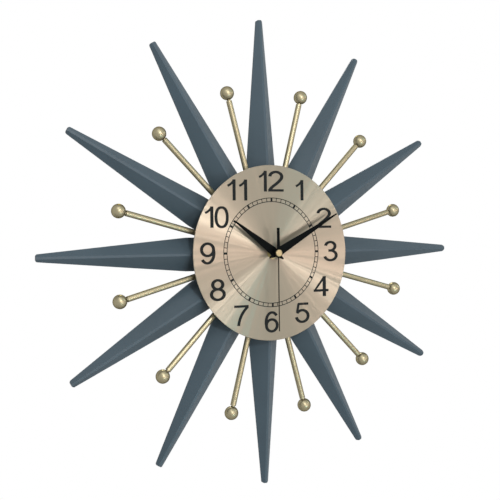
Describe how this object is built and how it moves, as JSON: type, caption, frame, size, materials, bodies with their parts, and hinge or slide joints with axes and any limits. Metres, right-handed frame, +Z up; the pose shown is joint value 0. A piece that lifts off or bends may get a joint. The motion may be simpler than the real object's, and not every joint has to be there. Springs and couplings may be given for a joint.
{
  "type": "wall clock",
  "caption": "Sunburst wall clock: blue-grey roof-shaped spikes and ball-ended gold rods around a spun metal dial with black hands and a quartz movement.",
  "frame": {"origin": "centre of the hanging keyhole's round entry, on the rear plate's back face, which lies on the wall", "axes": "+Z up, the dial faces -Y, +X to the right as seen from the front; the hand axis is 56 mm below the origin, along Y"},
  "size_m": [0.698, 0.0559, 0.698],
  "materials": {
    "spike_paint": "satin blue-grey paint over solid wood",
    "gold_metal": "satin champagne-gold plating",
    "dial_metal": "spun champagne to rose-gold, black print",
    "hand_black": "satin black paint",
    "brass": "turned brass",
    "hub_wood": "plain turned wood",
    "zinc_steel": "zinc plated sheet",
    "screw_steel": "zinc plated",
    "movement_black": "moulded black plastic",
    "train_plastic": "natural moulded plastic",
    "rubber": "black rubber",
    "battery_wrap": "plain sleeve on a steel can",
    "contact_metal": "nickel plated spring strip",
    "board": "green laminate",
    "copper": "lacquered copper wire",
    "motor_steel": "soft iron sheet and magnet"
  },
  "bodies": {
    "frame": {"rear_plate": "zinc_steel", "hub_core": "hub_wood", "dial": "dial_metal", "rod_balls": "gold_metal", "spike_screws": "screw_steel", "hub_screws": "screw_steel", "movement_case": "movement_black", "movement_cover": "movement_black", "rubber_gasket": "rubber", "bushing_washer": "brass", "bushing_nut": "brass", "battery": "battery_wrap", "battery_contact_positive": "contact_metal", "battery_contact_negative": "contact_metal", "circuit_board": "board", "coil_bobbin": "train_plastic", "coil_winding": "copper", "stator": "motor_steel", "spike_1": "spike_paint", "spike_2": "spike_paint", "spike_3": "spike_paint", "spike_4": "spike_paint", "spike_5": "spike_paint", "spike_6": "spike_paint", "spike_7": "spike_paint", "spike_8": "spike_paint", "spike_9": "spike_paint", "spike_10": "spike_paint", "spike_11": "spike_paint", "spike_12": "spike_paint", "rod_1": "gold_metal", "rod_2": "gold_metal", "rod_3": "gold_metal", "rod_4": "gold_metal", "rod_5": "gold_metal", "rod_6": "gold_metal", "rod_7": "gold_metal", "rod_8": "gold_metal", "rod_9": "gold_metal", "rod_10": "gold_metal", "rod_11": "gold_metal", "rod_12": "gold_metal"},
    "hour": {"hour_wheel": "train_plastic", "hour_hand": "hand_black"},
    "minute": {"minute_arbor": "brass", "minute_hand": "hand_black"},
    "seconds": {"seconds_wheel": "train_plastic", "second_hand": "hand_black", "hand_cap": "brass"},
    "motion": {"motion_wheel": "train_plastic", "setting_knob": "movement_black"},
    "centre": {"centre_wheel": "train_plastic"},
    "third": {"third_wheel": "train_plastic"},
    "intermediate": {"intermediate_wheel": "train_plastic"},
    "rotor": {"rotor": "motor_steel"}
  },
  "joints": [
    {"name": "minute_turn", "type": "hinge", "parent": "frame", "child": "minute", "pos_m": [0, 0, -0.056], "axis": [0, 1, 0], "continuous": true},
    {"name": "hour_turn", "type": "hinge", "parent": "frame", "child": "hour", "pos_m": [0, 0, -0.056], "axis": [0, 1, 0], "continuous": true},
    {"name": "motion_turn", "type": "hinge", "parent": "frame", "child": "motion", "pos_m": [0.00947, 0, -0.05255], "axis": [0, 1, 0], "continuous": true},
    {"name": "seconds_turn", "type": "hinge", "parent": "frame", "child": "seconds", "pos_m": [0, 0, -0.056], "axis": [0, 1, 0], "continuous": true},
    {"name": "intermediate_turn", "type": "hinge", "parent": "frame", "child": "intermediate", "pos_m": [0, 0, -0.04816], "axis": [0, 1, 0], "continuous": true},
    {"name": "rotor_turn", "type": "hinge", "parent": "frame", "child": "rotor", "pos_m": [-0.0013, 0, -0.04077], "axis": [0, 1, 0], "continuous": true},
    {"name": "third_turn", "type": "hinge", "parent": "frame", "child": "third", "pos_m": [-0.00779, 0, -0.0515], "axis": [0, 1, 0], "continuous": true},
    {"name": "centre_turn", "type": "hinge", "parent": "frame", "child": "centre", "pos_m": [0, 0, -0.056], "axis": [0, 1, 0], "continuous": true}
  ],
  "couplings": [
    {"joint": "hour_turn", "follows": "minute_turn", "ratio": 0.083333},
    {"joint": "motion_turn", "follows": "minute_turn", "ratio": -0.33333},
    {"joint": "intermediate_turn", "follows": "seconds_turn", "ratio": -6},
    {"joint": "rotor_turn", "follows": "seconds_turn", "ratio": 30},
    {"joint": "third_turn", "follows": "seconds_turn", "ratio": -0.125},
    {"joint": "centre_turn", "follows": "seconds_turn", "ratio": 0.016667}
  ]
}
